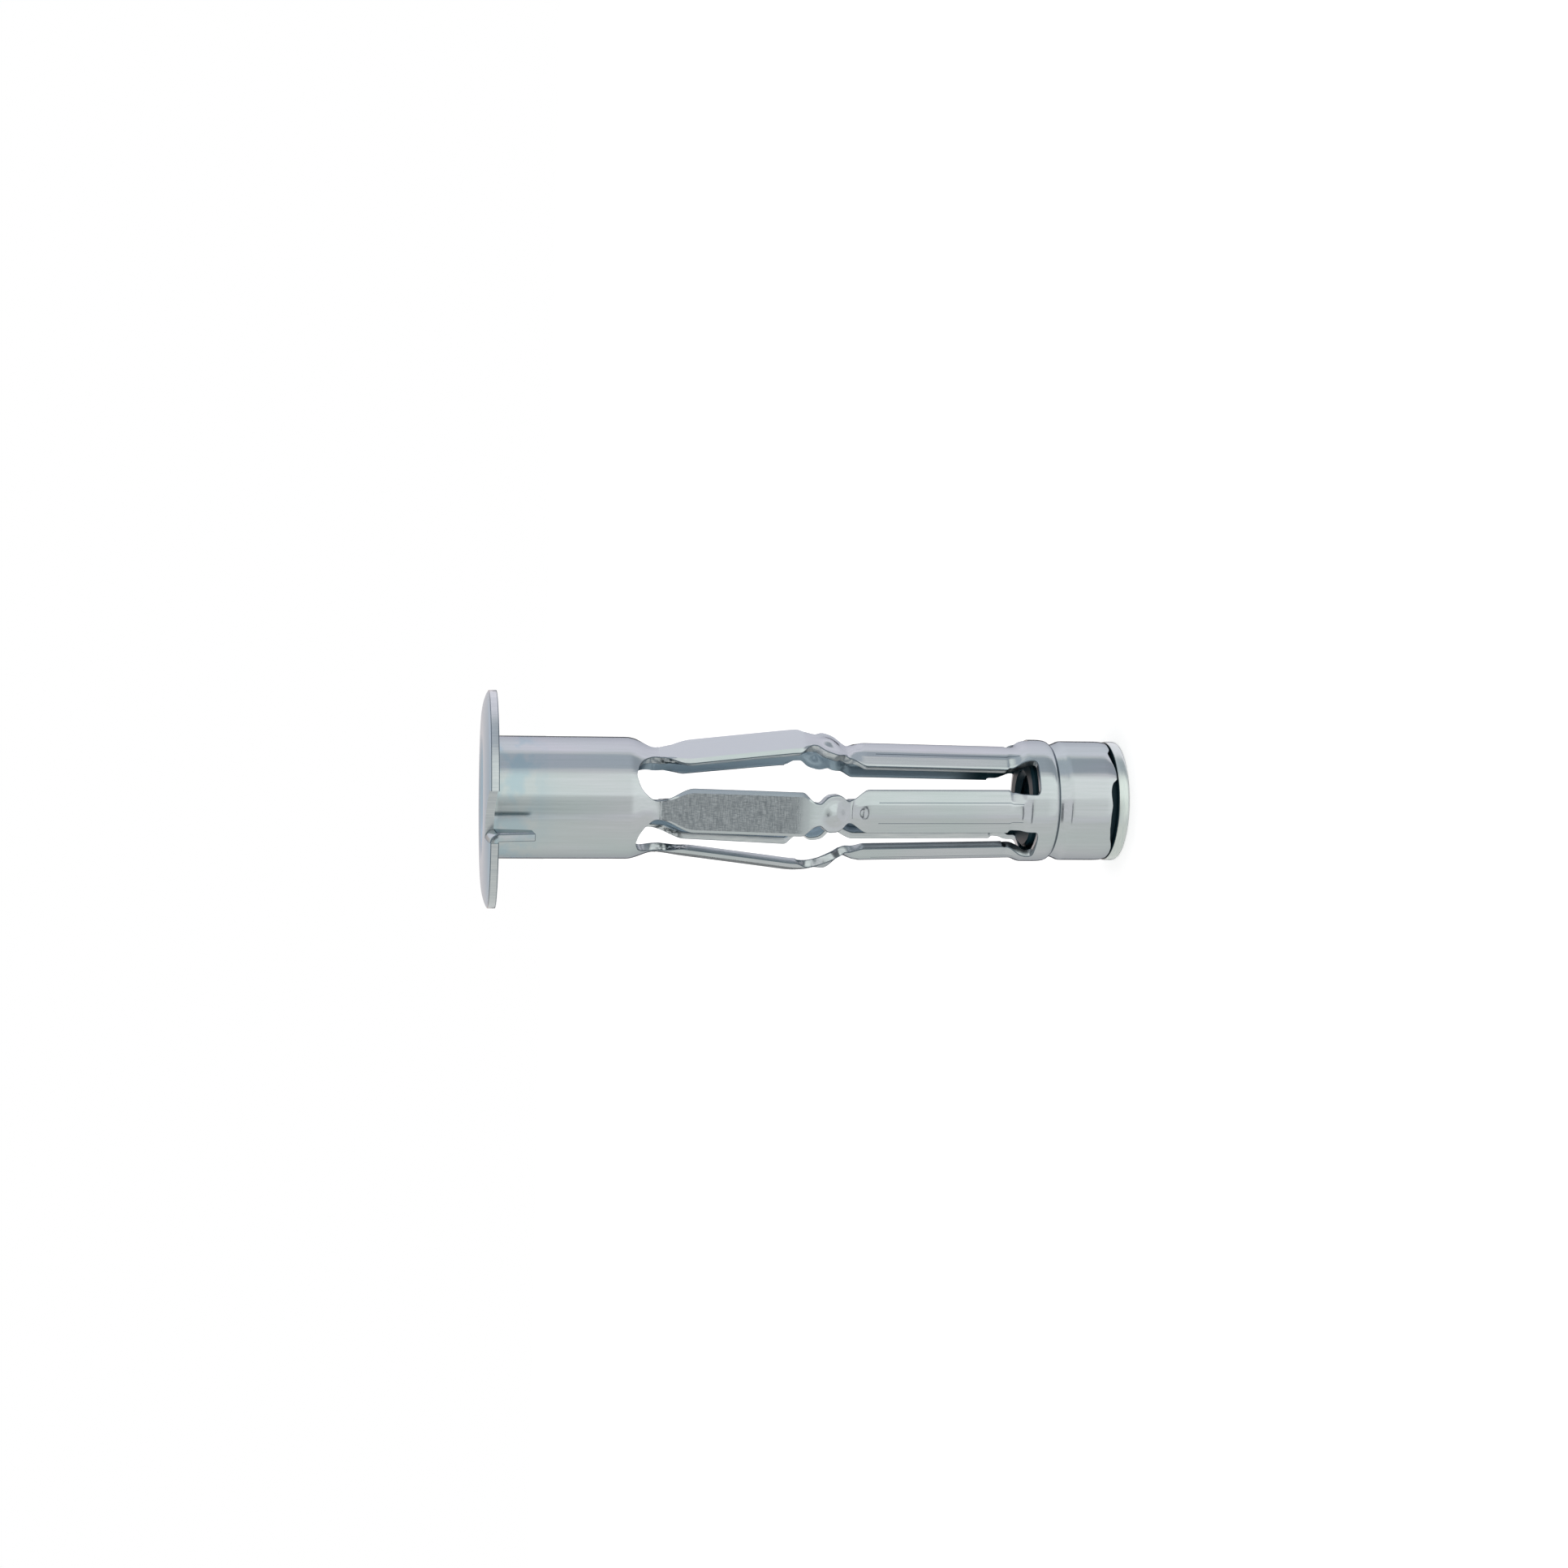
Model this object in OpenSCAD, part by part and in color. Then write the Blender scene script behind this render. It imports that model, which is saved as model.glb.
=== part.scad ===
// Hollow wall anchor for an M5 screw: a slotted sleeve of sheet steel, crimped round a flanged nut.
// The anchor stands on the end face of its nut, at z = 0, with its axis along z and its flange on top.

/* [Sleeve] */
// Overall length, from the nut's end face to the top of the flange
anchor_len = 52; // [48:0.5:66]
// Outside diameter of the sleeve at its two collars
sleeve_d = 9.8; // [9.6:0.1:10.4]
// Thickness of the sheet steel
sheet_t = 0.65; // [0.55:0.05:0.7]

/* [Flange] */
// Diameter of the flange
flange_d = 17.4; // [15:0.1:20]
// Drop of the flange from its crown to its turned-down rim
flange_drop = 0.5; // [0.2:0.05:0.9]
// Inside radius of the bend between the flange and the collar
bend_r = 0.3; // [0.2:0.05:0.6]
// Width of the flat land on the crown of the flange, beyond the bend
land_w = 0.6; // [0.3:0.1:1]

/* [Prongs] */
// Length below the flange of the two prongs that stop the anchor turning in the board
prong_len = 2.9; // [1.5:0.1:4]
// Width of a prong at its fold, measured in from the rim
prong_w = 1.2; // [0.9:0.1:2.5]
// Width of a prong at its tip
prong_tip_w = 0.8; // [0.3:0.1:0.8]
// Angle from the first leg to the first prong
prong_turn = -8; // [-30:1:30]

/* [Slots and necks] */
// Number of legs round the sleeve
leg_count = 5; // [4:1:5]
// Distance from the top of the flange to the round end of each slot
head_len = 12.1; // [8:0.1:16]
// Radius of the round end of each slot
slot_end_r = 1.9; // [1.7:0.05:2]
// Distance from the end of a slot to the first neck
neck_at = 1.8; // [1.6:0.1:2]
// Width of a leg at its first neck
neck_w = 1.64; // [1.4:0.02:1.8]
// Outer radius of the sleeve at the first neck
neck_r = 4.3; // [4.1:0.05:4.5]
// Depth to which the faces of a leg are pressed below those of the sheet
coin_depth = 0.03; // [0.02:0.01:0.05]

/* [Legs] */
// Width of the paddle of a leg
paddle_w = 3.66; // [3:0.02:4]
// Length of the paddle at its full width
paddle_len = 8.45; // [6:0.05:10]
// Length over which a leg widens from its neck to its paddle
shoulder_len = 2.7; // [2:0.1:3.5]
// Outer radius of the legs where they bow out most
bow_r = 5.75; // [5.2:0.05:6.5]
// Width of the sloped rim along each side of a paddle
paddle_rim = 0.33; // [0.2:0.01:0.5]
// Depth of that sloped rim
paddle_rim_drop = 0.3; // [0.1:0.01:0.35]
// Width of the two narrow necks where the leg folds
fold_neck_w = 1.84; // [1.4:0.02:2]
// Width of the knuckle between those two necks
knuckle_w = 3.04; // [2.4:0.02:3.2]
// Distance from the middle of the knuckle to each neck
knuckle_half = 1.22; // [1.1:0.02:1.5]
// Length over which a paddle narrows to the neck where the leg folds
corner_len = 1.45; // [1.2:0.05:2.4]
// Height of the round dome pressed out of the knuckle
dome_h = 0.35; // [0.15:0.05:0.4]
// Radius of that dome
dome_r = 0.95; // [0.7:0.05:1.1]
// Outer radius of the legs at the dip just past the last neck
waist_r = 4.5; // [4.4:0.05:4.9]

/* [Channels] */
// Width of a leg along its channel
channel_w = 3.62; // [3:0.02:3.8]
// Outer radius of the top of a channel, where the channel begins
channel_r = 4.95; // [4.85:0.01:5.05]
// Outer radius of the top of a channel, beside the end of the slot
channel_end_r = 4.73; // [4.65:0.01:4.85]
// Width of the top of a channel, between its two creases
channel_top_w = 1.7; // [1.4:0.05:1.9]
// Height of the crowned top of a channel above its creases
channel_crown = 0.13; // [0.05:0.01:0.2]
// Fall of the sides of a channel below its creases
channel_fall = 0.64; // [0.4:0.02:0.8]
// Width of a leg beside the widened end of a slot
tab_w = 3.18; // [2.8:0.02:3.4]
// Length of the widened end of a slot
slot_wide_len = 2.2; // [1.5:0.1:3]
// Radius in the corners at the end of a slot
slot_corner_r = 0.3; // [0.1:0.05:0.5]

/* [Crimped end] */
// Height of the slots' square ends above the nut's end face
slot_base = 7.47; // [7:0.01:9]
// Outer radius of the bead
bead_r = 5; // [4.95:0.01:5.2]
// Length of the bead's full radius
bead_len = 0.8; // [0.4:0.1:1]
// Height of the crimped groove above the nut's end face
groove_at = 5.7; // [5.3:0.05:5.8]
// Outer radius of the sleeve at the bottom of the groove
groove_r = 4.56; // [4.4:0.02:4.6]
// Gap between the end of the sleeve and the nut's flange
end_gap = 0.4; // [0.1:0.05:0.6]

/* [Nut] */
// Minor diameter of the M5 thread
thread_d = 4.134; // [3.8:0.01:4.4]
// Length of the nut
nut_len = 7.75; // [7.6:0.05:9]
// Diameter of the nut's flange
nut_flange_d = 9.8; // [9.2:0.1:10.4]
// Thickness of the nut's flange
nut_flange_t = 0.9; // [0.7:0.05:1.5]
// Diameter of the nut's lead, above the crimped groove
nut_lead_d = 7.6; // [7:0.1:7.6]
// Chamfer at both ends of the thread
thread_chamfer = 0.45; // [0.2:0.05:0.8]
// Radial clearance left between the nut and the sleeve round it
crimp_gap = 0.02; // [0.01:0.01:0.1]

/* [Hidden] */
$fn = 96;
steel = "#c3c9cf";
nut_steel = "#8f979c";

// Radii of the sheet's skins at the collars
sleeve_r = sleeve_d / 2;
bore_r = sleeve_r - sheet_t;
flange_r = flange_d / 2;
leg_step = 360 / leg_count;

// The bend between collar and flange: both skins turn about one centre
mouth_r = bend_r + sheet_t;
crown_r = bore_r + mouth_r + land_w;
fall_span = flange_r - crown_r;

// Short runs of a leg: from the paddle's end to the bow, and from the last neck to the dip and the channel
to_bow = 0.25;
to_dip = 0.26;
to_channel = 1.7;

// Laps of the leg's pieces: root inside the collar, collar past the neck, leg's end inside the crimped end
root_lap = 0.7;
stub_lap = 0.1;
end_lap = 0.2;

// Lengths on either side of the slot's widening over which a leg narrows to its tab
tab_before = 0.2;
tab_after = 0.1;

// Length over which a cutter runs past what it cuts
spare = 1;

// Distances below the top of the flange, down to the start of the channels
draw_d = head_len - 0.6;
neck_d = head_len + neck_at;
stub_d = neck_d + stub_lap;
paddle_d = neck_d + shoulder_len;
paddle_end_d = paddle_d + paddle_len;
bow_d = paddle_end_d + to_bow;
fold_neck_d = paddle_end_d + corner_len;
knuckle_d = fold_neck_d + knuckle_half;
waist_d = knuckle_d + knuckle_half;
dip_d = waist_d + to_dip;
channel_d = waist_d + to_channel;

// Distances below the top of the flange, up from the nut's end
tab_d = anchor_len - slot_base - slot_wide_len;
leg_end_d = anchor_len - slot_base - end_lap;
sleeve_end = nut_flange_t + end_gap;

// Fall of the channel's radius over each millimetre of its length
channel_slope = (channel_r - channel_end_r) / (tab_d - channel_d);

// Powers that shape a leg: fall to the dip, rise to the channel, corners of the paddle, lobes of the knuckle
fall_power = 1.8;
rise_power = 2;
corner_power = 1.3;
lobe_power = 1.7;

function arc(cx, cy, r, a0, a1, n) =
    [for (i = [0:n]) let (a = a0 + (a1 - a0) * i / n) [cx + r * cos(a), cy + r * sin(a)]];

// Share of the way from d0 to d1
function along(d, d0, d1) = (d - d0) / (d1 - d0);

// A smooth step from 0 to 1 while d runs from d0 to d1
function ease(d, d0, d1) = let (f = min(1, max(0, along(d, d0, d1)))) f * f * (3 - 2 * f);

function blend(d, d0, v0, d1, v1) = v0 + (v1 - v0) * ease(d, d0, d1);

// Outer radius of the sheet from the head collar to the first neck
function head_r(d) = blend(d, draw_d, sleeve_r, neck_d, neck_r);

// Outer radius of a leg down its length: straight out to the bow, down to a dip, then up to the channel
function leg_r(d) =
    d < neck_d ? head_r(d)
    : d < bow_d ? neck_r + (bow_r - neck_r) * along(d, neck_d, bow_d)
    : d < dip_d ? bow_r + (waist_r - bow_r) * pow(along(d, bow_d, dip_d), fall_power)
    : d < channel_d ? channel_r + (waist_r - channel_r) * pow(along(d, channel_d, dip_d), rise_power)
    : channel_r - channel_slope * (d - channel_d);

// A width that swells from w0 to w1 while the distance from its narrow end grows to len
function swell(distance, len, w0, w1) = blend(pow(distance / len, corner_power), 0, w0, 1, w1);

// A round lobe, w1 wide in its middle and w0 wide at a distance of len from it
function lobe(distance, len, w0, w1) = blend(1 - pow(distance / len, lobe_power), 0, w0, 1, w1);

// Half the width of a leg down its length
function leg_half(d) =
    d < paddle_end_d ? blend(d, neck_d, neck_w, paddle_d, paddle_w) / 2
    : d < fold_neck_d ? swell(fold_neck_d - d, corner_len, fold_neck_w, paddle_w) / 2
    : d < waist_d ? lobe(abs(d - knuckle_d), knuckle_half, fold_neck_w, knuckle_w) / 2
    : d < tab_d - tab_before ? blend(d, waist_d, fold_neck_w, channel_d, channel_w) / 2
    : blend(d, tab_d - tab_before, channel_w, tab_d + tab_after, tab_w) / 2;

function steps(d0, d1, n) = [for (i = [0:n - 1]) d0 + (d1 - d0) * i / n];

// Places at which the leg's curves are sampled, closer together where its shape turns
upper_steps = concat(
    [neck_d - root_lap],
    steps(neck_d, paddle_d, 5),
    [paddle_d],
    steps(paddle_end_d, fold_neck_d, 6),
    steps(fold_neck_d, knuckle_d, 6),
    steps(knuckle_d, waist_d, 6),
    [waist_d]
);
channel_steps = concat(steps(dip_d, channel_d, 6), [channel_d]);
tab_steps = concat(steps(tab_d - tab_before, tab_d + tab_after, 2), [tab_d + tab_after, leg_end_d]);

// A second skin at a distance inside a line, square to it
function square_to(p, q) = let (v = q - p) [v[1], -v[0]] / norm(v);

function mitre(m, n) = (m + n) / (1 + m * n);

function second_skin(p, thick) =
    let (n = len(p) - 1)
    let (sides = [for (i = [0:n - 1]) square_to(p[i], p[i + 1])])
    [for (i = [0:n]) p[i] + thick * mitre(sides[max(0, i - 1)], sides[min(n - 1, i)])];

function backwards(p) = [for (i = [len(p) - 1:-1:0]) p[i]];

leg_t = sheet_t - 2 * coin_depth;

function leg_line(places) = [for (d = places) [leg_r(d) - coin_depth, anchor_len - d]];

// A flat strip bent to the side view of a leg
module strip(places, width) {
    line = leg_line(places);
    rotate([90, 0, 90])
        linear_extrude(width, center = true)
            polygon(concat(line, backwards(second_skin(line, leg_t))));
}

// The outline of a leg, seen square on, as a prism that reaches outwards from the axis
module outline_prism() {
    places = concat(upper_steps, channel_steps, tab_steps);
    edge = [for (d = places) [leg_half(d), anchor_len - d]];
    other = [for (p = backwards(edge)) [-p[0], p[1]]];
    translate([0, bow_r + spare, 0])
        rotate([90, 0, 0])
            linear_extrude(bow_r)
                polygon(concat(edge, other));
}

// The creased section of a channel, which leans in towards the nut and is trimmed where it begins
module channel() {
    top = channel_top_w / 2;
    past_edge = 0.2;
    edge = channel_w / 2 + past_edge;
    side = channel_crown + channel_fall * (edge - top) / (channel_w / 2 - top);
    half = [[edge, -side], [top, -channel_crown], [top / 2, -channel_crown / 4]];
    line = concat(half, [[0, 0]], [for (p = backwards(half)) [-p[0], p[1]]]);
    lean = atan(channel_slope);
    under = leg_line(channel_steps);
    low = anchor_len - leg_end_d;
    intersection() {
        translate([0, channel_r - coin_depth, anchor_len - channel_d])
            rotate([180 - lean, 0, 0])
                mirror([0, 1, 0])
                    translate([0, 0, dip_d - channel_d])
                        linear_extrude(leg_end_d - dip_d + spare)
                            polygon(concat(line, backwards(second_skin(line, -leg_t))));
        rotate([90, 0, 90])
            linear_extrude(sleeve_d, center = true)
                polygon(concat(
                    under,
                    [[leg_r(leg_end_d), low], [0, low], [0, anchor_len - dip_d]]
                ));
    }
}

// The sloped rim pressed along both sides of a paddle, as the wedge that it takes away
module paddle_rims() {
    slope = atan2(bow_r - neck_r, bow_d - neck_d);
    top = leg_r(paddle_d) - coin_depth;
    run = paddle_len / cos(slope);
    lead = 0.6;
    trail = 0.3;
    out = 0.5;
    for (side = [-1, 1])
        translate([0, top, anchor_len - paddle_d])
            rotate([180 + slope, 0, 0])
                translate([side * paddle_w / 2, 0, -lead])
                    linear_extrude(run + lead + trail)
                        polygon([
                            [-side * paddle_rim, 0],
                            [-side * paddle_rim, -out],
                            [side * out, -out],
                            [side * out, paddle_rim_drop * (1 + out / paddle_rim)]
                        ]);
}

module leg() {
    // The flat strips overlap at the dip, and the lower one is narrower than the channel over it
    dip_lap = 0.05;
    under_w = channel_top_w * 0.7;
    difference() {
        intersection() {
            union() {
                strip(concat(upper_steps, [dip_d, dip_d + dip_lap]), bow_r);
                strip(concat([waist_d], channel_steps, [leg_end_d]), under_w);
                channel();
            }
            outline_prism();
        }
        paddle_rims();
    }
}

// The round dome on a knuckle, and the hollow that it leaves inside
dome_ball_r = (dome_r * dome_r + dome_h * dome_h) / (2 * dome_h);

module knuckle_ball(r) {
    translate([0, leg_r(knuckle_d) + dome_h - dome_ball_r, anchor_len - knuckle_d])
        sphere(r);
}

module domed_leg() {
    seat = leg_r(knuckle_d) - sheet_t / 2;
    margin = 0.1;
    difference() {
        union() {
            leg();
            intersection() {
                knuckle_ball(dome_ball_r);
                translate([0, seat, anchor_len - knuckle_d])
                    rotate([-90, 0, 0])
                        cylinder(r = dome_r + margin, h = dome_h + spare);
            }
        }
        knuckle_ball(dome_ball_r - sheet_t);
    }
}

// Sheet section of the flange, the head collar and the roots of the legs
module head_section() {
    mouth_z = anchor_len - mouth_r;
    mouth_x = bore_r + mouth_r;
    count = 10;
    fall = [
        for (i = [0:count]) [crown_r + fall_span * i / count, anchor_len - flange_drop * pow(i / count, 3)]
    ];
    drawn = [for (i = [0:6]) draw_d + (stub_d - draw_d) * i / 6];
    outer = [for (d = drawn) [head_r(d), anchor_len - d]];
    inner = [for (i = [6:-1:0]) [outer[i][0] - sheet_t, outer[i][1]]];
    polygon(concat(
        arc(mouth_x, mouth_z, mouth_r, 180, 90, 8),
        fall,
        [for (p = backwards(fall)) p - [0, sheet_t]],
        arc(mouth_x, mouth_z, bend_r, 90, 180, 6),
        outer,
        inner
    ));
}

// Chamfer at the corners of a prong's tip
prong_nip = 0.18;

// Distance of a prong's outer edge inside the rim
prong_inset = 0.05;

// One prong, cut free at the rim and folded down square to the flange
module prong() {
    root_z = anchor_len - sheet_t - flange_drop / 2;
    inner_square = 0.5;
    outer_square = 0.8;
    tip_z = anchor_len - sheet_t - prong_len;
    tip_r = flange_r - (prong_w - prong_tip_w) / 2;
    rotate([90, 0, 0])
        linear_extrude(sheet_t, center = true)
            polygon([
                [flange_r - prong_w, root_z],
                [flange_r - prong_w, root_z - inner_square],
                [tip_r - prong_tip_w, tip_z + prong_nip],
                [tip_r - prong_tip_w + prong_nip, tip_z],
                [tip_r - prong_nip, tip_z],
                [tip_r, tip_z + prong_nip],
                [flange_r - prong_inset, root_z - outer_square],
                [flange_r - prong_inset, root_z]
            ]);
}

// The notch that the prong leaves in the flange
module prong_notch() {
    side = sheet_t / 2;
    far = side + prong_len + sheet_t / 2;
    translate([0, 0, anchor_len - 3 * sheet_t])
        linear_extrude(4 * sheet_t)
            polygon([
                [flange_r - prong_w, side],
                [flange_r - (prong_w + prong_tip_w) / 2, far],
                [flange_r + spare, far],
                [flange_r + spare, side]
            ]);
}

// The two prongs face each other across the flange, with their notches on one side
module at_prongs() {
    rotate([0, 0, -90 + prong_turn])
        for (side = [0, 1])
            mirror([side, 0, 0])
                children();
}

module head() {
    difference() {
        rotate_extrude() head_section();
        for (i = [0:leg_count - 1])
            rotate([0, 0, -90 + (i + 0.5) * leg_step])
                translate([0, 0, anchor_len - head_len - slot_end_r])
                    rotate([0, 90, 0])
                        cylinder(r = slot_end_r, h = sleeve_d);
        at_prongs() prong_notch();
    }
    at_prongs() prong();
}

// Half the width of the groove, the softening of its corners, and the height of the tabs' roots
groove_half = 0.75;
soft = 0.1;
tab_root = 0.5;
groove_z = groove_at - groove_half;
bead_z = groove_at + groove_half;

// Outer radius of the crimped end at each height: collar, groove, bead, and the start of the tabs
crimp_line = [
    [sleeve_r - soft, sleeve_end],
    [sleeve_r, sleeve_end + 2.5 * soft],
    [sleeve_r, groove_z - 2 * soft],
    [sleeve_r - 0.8 * soft, groove_z + soft],
    [groove_r + soft / 2, groove_at - 1.5 * soft],
    [groove_r, groove_at],
    [groove_r + soft / 2, groove_at + 1.5 * soft],
    [bead_r - soft, bead_z - soft],
    [bead_r, bead_z + 1.5 * soft],
    [bead_r, bead_z + bead_len],
    [bead_r - 0.4 * soft, slot_base + tab_root]
];

module crimp_section() {
    n = len(crimp_line) - 1;
    inner = [for (i = [n:-1:1]) crimp_line[i] - [sheet_t, 0]];
    polygon(concat(crimp_line, inner, [[bore_r, sleeve_end]]));
}

// A slot's square end with its small corner rounds, cut outwards from the axis
module slot_square_end() {
    r = slot_corner_r;
    half = slot_half;
    rotate([90, 0, 90])
        linear_extrude(sleeve_d)
            polygon(concat(
                arc(-half + r, slot_base + r, r, 180, 270, 4),
                arc(half - r, slot_base + r, r, 270, 360, 4),
                [[half, bead_z + bead_len + spare], [-half, bead_z + bead_len + spare]]
            ));
}

tab_angle = asin(tab_w / 2 / sleeve_r);
slot_half = sleeve_r * sin(leg_step / 2 - tab_angle);

module crimped_end() {
    difference() {
        rotate_extrude() crimp_section();
        for (i = [0:leg_count - 1])
            rotate([0, 0, -90 + (i + 0.5) * leg_step])
                slot_square_end();
    }
}

module sleeve() {
    color(steel) {
        head();
        for (i = [0:leg_count - 1])
            rotate([0, 0, 180 + i * leg_step])
                domed_leg();
        crimped_end();
    }
}

// The nut fills the collar and the groove, and stops below the bead
module nut_section() {
    edge = 2 * soft;
    gap = sheet_t + crimp_gap;
    body = [for (i = [0:6]) crimp_line[i] - [gap, 0]];
    lead_r = nut_lead_d / 2;
    flange = nut_flange_d / 2;
    hole = thread_d / 2;
    polygon(concat(
        [[hole + thread_chamfer, 0], [flange - edge, 0], [flange, edge], [flange, nut_flange_t - edge / 2]],
        [[flange - edge / 2, nut_flange_t], [sleeve_r - gap, nut_flange_t]],
        [for (i = [2:6]) body[i]],
        [[lead_r, bead_z], [lead_r, nut_len - edge], [lead_r - edge, nut_len]],
        [[hole + thread_chamfer, nut_len], [hole, nut_len - thread_chamfer], [hole, thread_chamfer]]
    ));
}

module nut() {
    color(nut_steel) rotate_extrude() nut_section();
}

sleeve();
nut();
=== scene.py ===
# %% [markdown]
# # Hollow wall anchor in zinc-plated sheet steel
# A hollow wall anchor is a tube of thin steel with a broad flange at one end and a threaded nut crimped into
# the other. Long slots cut the tube into five legs that fold outwards behind the board when the screw is tightened.
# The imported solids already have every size, so this script gives each piece a smooth skin that follows the same
# sizes, then its plating, its light and its camera. The anchor stands on the end of its nut, at z = 0.

# %% The frame
import math

import bmesh
import bpy
import numpy as np
from mathutils import Matrix, Vector


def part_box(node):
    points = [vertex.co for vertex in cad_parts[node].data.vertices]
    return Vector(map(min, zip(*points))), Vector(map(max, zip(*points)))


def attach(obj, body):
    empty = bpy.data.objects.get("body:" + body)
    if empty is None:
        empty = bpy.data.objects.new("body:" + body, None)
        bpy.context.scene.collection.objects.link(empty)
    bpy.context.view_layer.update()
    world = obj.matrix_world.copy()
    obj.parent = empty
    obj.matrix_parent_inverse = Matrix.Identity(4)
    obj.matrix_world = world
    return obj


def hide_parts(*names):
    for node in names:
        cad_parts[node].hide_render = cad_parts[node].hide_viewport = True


MM = 0.001
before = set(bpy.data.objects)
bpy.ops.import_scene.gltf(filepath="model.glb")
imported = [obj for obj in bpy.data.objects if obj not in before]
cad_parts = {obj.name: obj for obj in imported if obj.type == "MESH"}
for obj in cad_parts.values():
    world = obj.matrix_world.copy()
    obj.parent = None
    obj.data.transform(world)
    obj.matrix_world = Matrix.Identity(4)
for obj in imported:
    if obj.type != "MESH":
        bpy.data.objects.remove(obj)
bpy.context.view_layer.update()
sleeve_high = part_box("sleeve")[1]
length = sleeve_high.z / MM
flange_r = sleeve_high.x / MM
print(f"sleeve: flange radius {flange_r:.2f} mm, top at {length:.2f} mm")

# %% [markdown]
# ## Curves that the sheet follows
# All sizes are in millimetres, and d is the distance below the top of the flange.
# A smooth step between two places is enough for every change of radius or width,
# because sheet steel that is pressed in a die never turns a sharp corner along its length.

# %% Smooth steps
SHEET = 0.65
print(f"sheet steel {SHEET} mm thick")


def ease(d, start, end):
    f = np.clip((d - start) / (end - start), 0, 1)
    return f * f * (3 - 2 * f)


def blend(d, start, first, end, last):
    return first + (last - first) * ease(d, start, end)


# %% [markdown]
# ## Radius and width down the length
# The head is a plain collar. It draws in to a neck at each leg, and the leg then runs straight out to its bow,
# dives to a waist at the knuckle and comes back to a long stiff channel. Two functions say how far out the sheet
# lies and how wide a leg is, so that one grid can follow both.

# %% Sizes down the length
COLLAR_R, NECK_R, BOW_R, WAIST_R = 4.9, 4.3, 5.75, 4.5
CHANNEL_R, CHANNEL_END_R, BEAD_R = 4.95, 4.73, 5.0
SLOT_TOP, SLOT_R = 12.1, 1.9
NECK, PADDLE, PADDLE_END, BOW = 13.9, 16.6, 25.05, 25.3
FOLD_NECK, KNUCKLE, WAIST = 26.5, 27.72, 28.94
DIP, CHANNEL, TAB = 29.2, 30.64, 42.33
SLOT_BASE, SLOT_CORNER = 44.53, 0.3
HALF_NECK, HALF_PADDLE, HALF_FOLD, HALF_KNUCKLE = 0.82, 1.83, 0.92, 1.52
HALF_CHANNEL, HALF_TAB = 1.81, 1.59
LEGS = 5
HALF_STEP = math.pi / LEGS


def head_radius(d):
    return blend(d, SLOT_TOP - 0.6, COLLAR_R, NECK, NECK_R)


def bent_line(d):
    """Radius of the leg's folded line, with sharp bends."""
    straight = NECK_R + (BOW_R - NECK_R) * (d - NECK) / (BOW - NECK)
    dive = BOW_R + (WAIST_R - BOW_R) * (max(0.0, d - BOW) / (DIP - BOW)) ** 1.8
    rise = CHANNEL_R + (WAIST_R - CHANNEL_R) * ((CHANNEL - d) / (CHANNEL - DIP)) ** 2
    run = CHANNEL_R + (CHANNEL_END_R - CHANNEL_R) * (d - CHANNEL) / (TAB - CHANNEL)
    for end, r in ((NECK, head_radius(d)), (BOW, straight), (DIP, dive), (CHANNEL, rise)):
        if d < end:
            return r
    return run


def leg_radius(d):
    """The same line with its bends rounded, most at the bow, and its end raised into the bead."""
    reach = blend(d, BOW + 0.8, 0.9, DIP - 0.5, 0.12) * ease(d, NECK, PADDLE)
    leg = sum(bent_line(d + reach * f) for f in (-1, -0.6, -0.2, 0.2, 0.6, 1)) / 6
    return blend(d, TAB + 0.7, leg, TAB + 1.7, BEAD_R)


def leg_half(d):
    if d < PADDLE_END:
        return blend(d, NECK, HALF_NECK, PADDLE, HALF_PADDLE)
    if d < FOLD_NECK:
        from_neck = (FOLD_NECK - d) / (FOLD_NECK - PADDLE_END)
        return blend(from_neck ** 1.3, 0, HALF_FOLD, 1, HALF_PADDLE)
    if d < WAIST:
        from_middle = abs(d - KNUCKLE) / (WAIST - KNUCKLE)
        return blend(from_middle ** 1.7, 0, HALF_KNUCKLE, 1, HALF_FOLD)
    half = blend(d, WAIST, HALF_FOLD, CHANNEL, HALF_CHANNEL)
    half = half + (HALF_TAB - HALF_CHANNEL) * ease(d, TAB - 0.2, TAB + 0.1)
    into_corner = max(0.0, d - (SLOT_BASE - SLOT_CORNER))
    return half + SLOT_CORNER - math.sqrt(SLOT_CORNER ** 2 - into_corner ** 2)


def slot_angle(d):
    """Half the angle of sheet left beside the round end of a slot."""
    across = math.sqrt(max(0.0, SLOT_R ** 2 - (SLOT_TOP + SLOT_R - d) ** 2))
    return HALF_STEP - math.asin(across / head_radius(d)) if d > SLOT_TOP else HALF_STEP


print(f"leg radius at the bow {leg_radius(BOW):.2f} mm, half width of the paddle {leg_half(20):.2f} mm")

# %% [markdown]
# ## The pressed section of a leg
# Pressing gives each leg a relief: the paddle is coined a little thinner between two sloped rims, the knuckle
# carries a small round dome, and the channel has a crowned top with a crease on either side. The function below
# returns how far a point lies under the leg's outer radius, with u running from -1 to 1 across the leg.

# %% The relief across a leg
COIN_STEP = 0.04
RIM_AT, RIM_DROP = 0.82, 0.3
CREASE_AT, CROWN, SIDE_FALL = 0.47, 0.13, 0.64
SCORE_W, SCORE_DEPTH = 0.04, 0.03
DOME_R, DOME_H = 1.12, 0.31
DIMPLE_AT, DIMPLE_R, DIMPLE_DEPTH = CHANNEL - 0.5, 0.34, 0.1


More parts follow.
